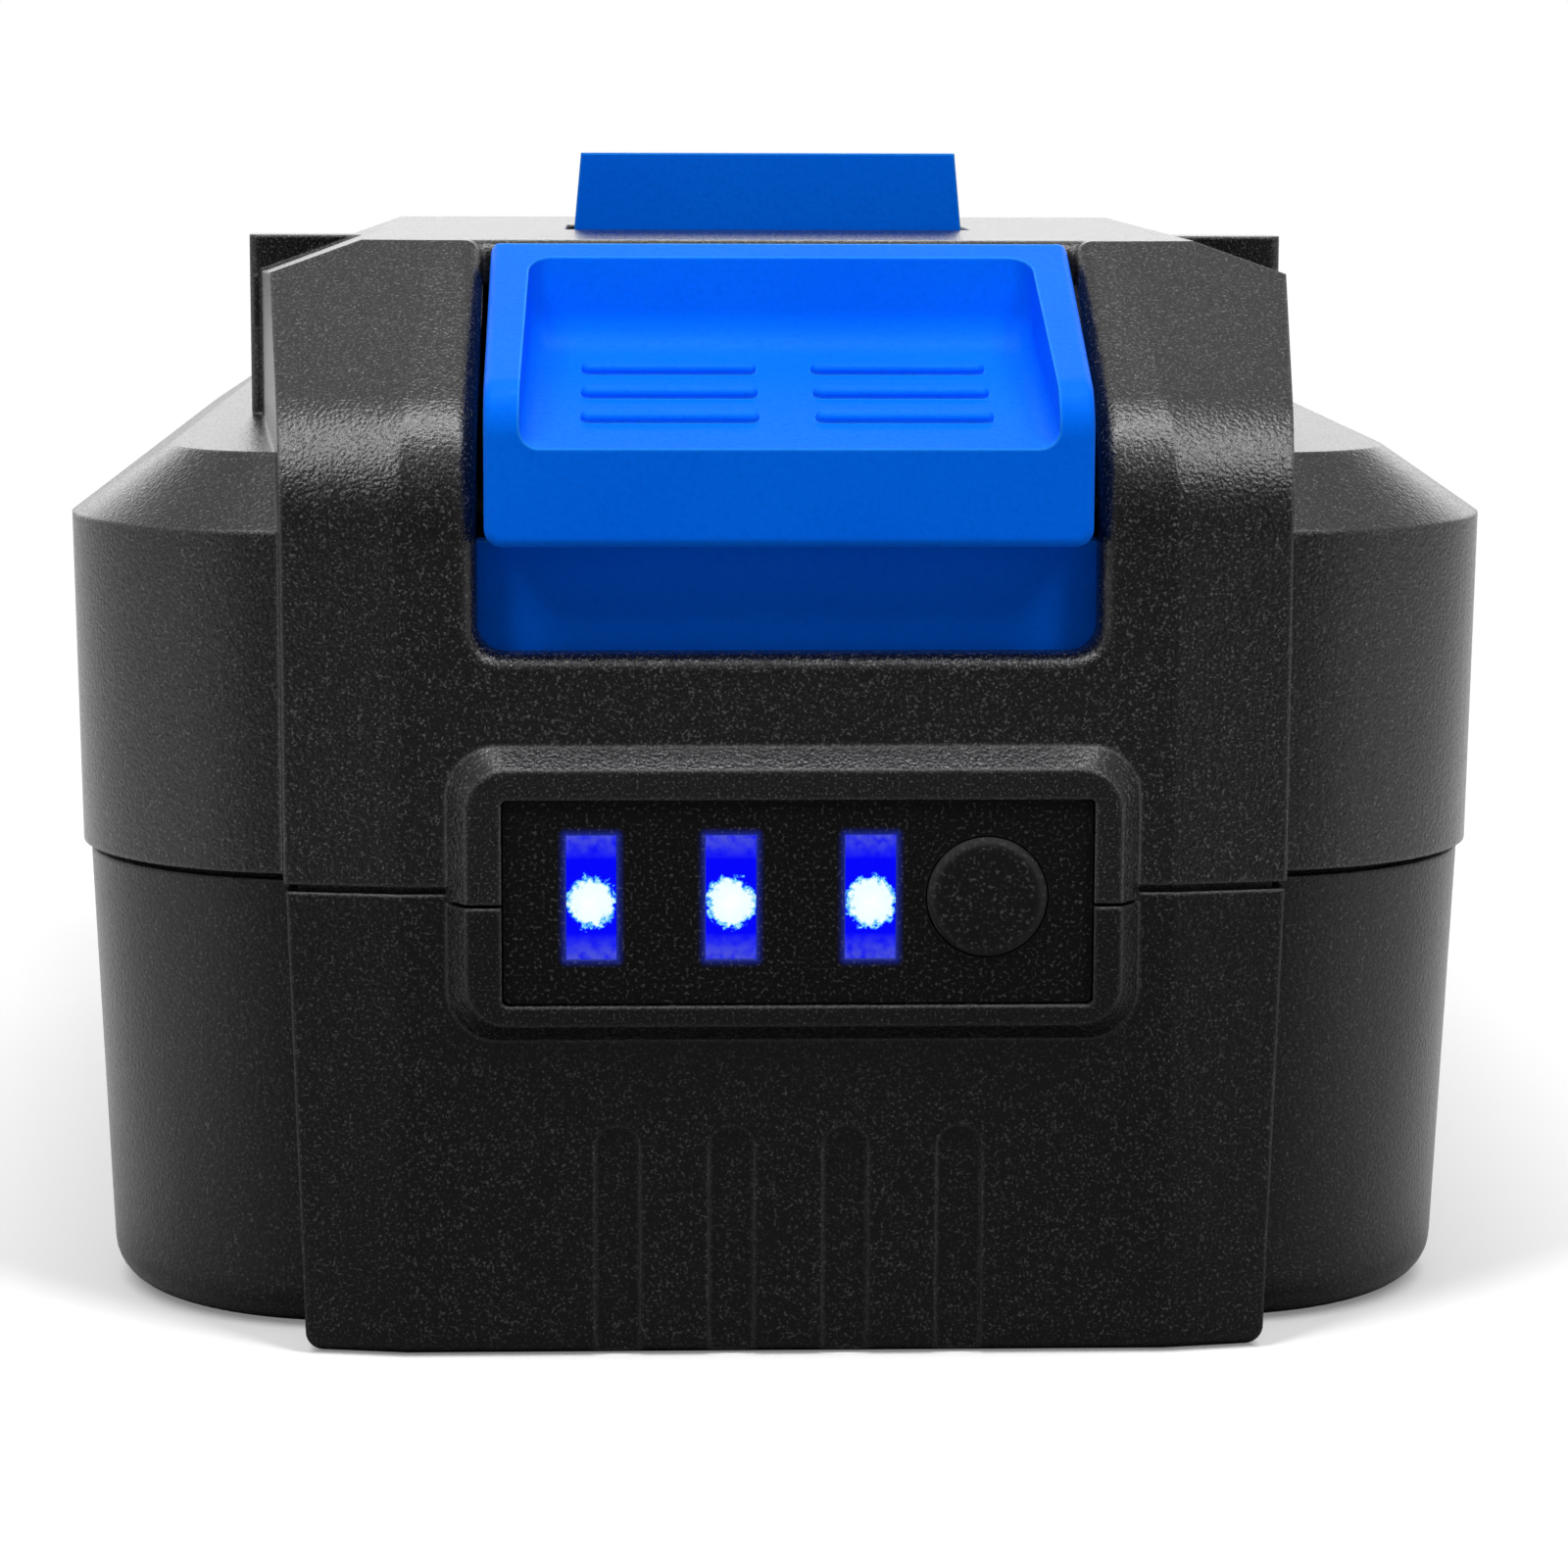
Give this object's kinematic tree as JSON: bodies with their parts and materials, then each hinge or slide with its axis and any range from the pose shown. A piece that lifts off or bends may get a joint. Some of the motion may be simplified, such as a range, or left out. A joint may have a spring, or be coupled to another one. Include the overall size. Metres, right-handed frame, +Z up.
{
  "type": "power tool battery pack",
  "caption": "Slide-on battery pack for a cordless tool, with a black two-shell housing, a blue spring release button with its hook, rails, terminals and a lit charge gauge.",
  "frame": {"origin": "centre of the footprint, on the surface that the pack stands on", "axes": "+Z up out of the rails, +Y from the button end to the rear, +X to the right seen from the button end"},
  "size_m": [0.075, 0.114, 0.0605],
  "materials": {
    "black_housing": "fine leather grain",
    "blue_latch": "satin, fine grain",
    "spring_steel": "drawn wire",
    "gauge_panel": "fine grain",
    "lit_window": "lit light pipe",
    "lamp": "lamp body",
    "gauge_key": "fine grain",
    "switch_plastic": "moulded",
    "circuit_board": "solder mask",
    "cell_sleeve": "shrink sleeve",
    "cell_cap": "nickel plated",
    "insulating_sheet": "fibre paper",
    "nickel": "rolled strip",
    "carrier_plastic": "moulded",
    "component_black": "moulded packages",
    "screw_steel": "black oxide",
    "terminal_metal": "tin plated",
    "connector_cream": "moulded",
    "wire_sleeve": "silicone sleeve"
  },
  "bodies": {
    "housing": {"board_components": "component_black", "board_screws": "screw_steel", "board_tray": "carrier_plastic", "case_screws": "screw_steel", "cell_01": "cell_sleeve", "cell_02": "cell_sleeve", "cell_03": "cell_sleeve", "cell_04": "cell_sleeve", "cell_05": "cell_sleeve", "cell_06": "cell_sleeve", "cell_07": "cell_sleeve", "cell_08": "cell_sleeve", "cell_09": "cell_sleeve", "cell_10": "cell_sleeve", "cell_caps": "cell_cap", "cell_carrier_left": "carrier_plastic", "cell_carrier_right": "carrier_plastic", "cell_rings": "insulating_sheet", "data_connector": "connector_cream", "data_contacts": "terminal_metal", "gauge_board": "circuit_board", "gauge_lamps": "lamp", "gauge_panel": "gauge_panel", "gauge_windows": "lit_window", "gauge_wires": "wire_sleeve", "insulator_left": "insulating_sheet", "insulator_right": "insulating_sheet", "latch_spring_left": "spring_steel", "latch_spring_right": "spring_steel", "lower_housing": "black_housing", "main_board": "circuit_board", "negative_strap": "nickel", "negative_terminal": "terminal_metal", "nickel_strip_1": "nickel", "nickel_strip_2": "nickel", "nickel_strip_3": "nickel", "nickel_strip_4": "nickel", "nickel_strip_5": "nickel", "nickel_strip_6": "nickel", "positive_strap": "nickel", "positive_terminal": "terminal_metal", "tact_switch": "switch_plastic", "upper_housing": "black_housing"},
    "latch": {"release_latch": "blue_latch"},
    "gauge_key": {"gauge_button": "gauge_key", "tact_plunger": "switch_plastic"}
  },
  "joints": [
    {"name": "release_slide", "type": "slide", "parent": "housing", "child": "latch", "axis": [0, 0, -1], "range_m": [0, 0.0045], "stiffness_N_per_m": 1200, "springref_m": -0.003, "deforming": ["latch_spring_left", "latch_spring_right"]},
    {"name": "gauge_button_press", "type": "slide", "parent": "housing", "child": "gauge_key", "axis": [0, 1, 0], "range_m": [0, 0.0003], "stiffness_N_per_m": 900, "springref_m": -0.0003}
  ]
}
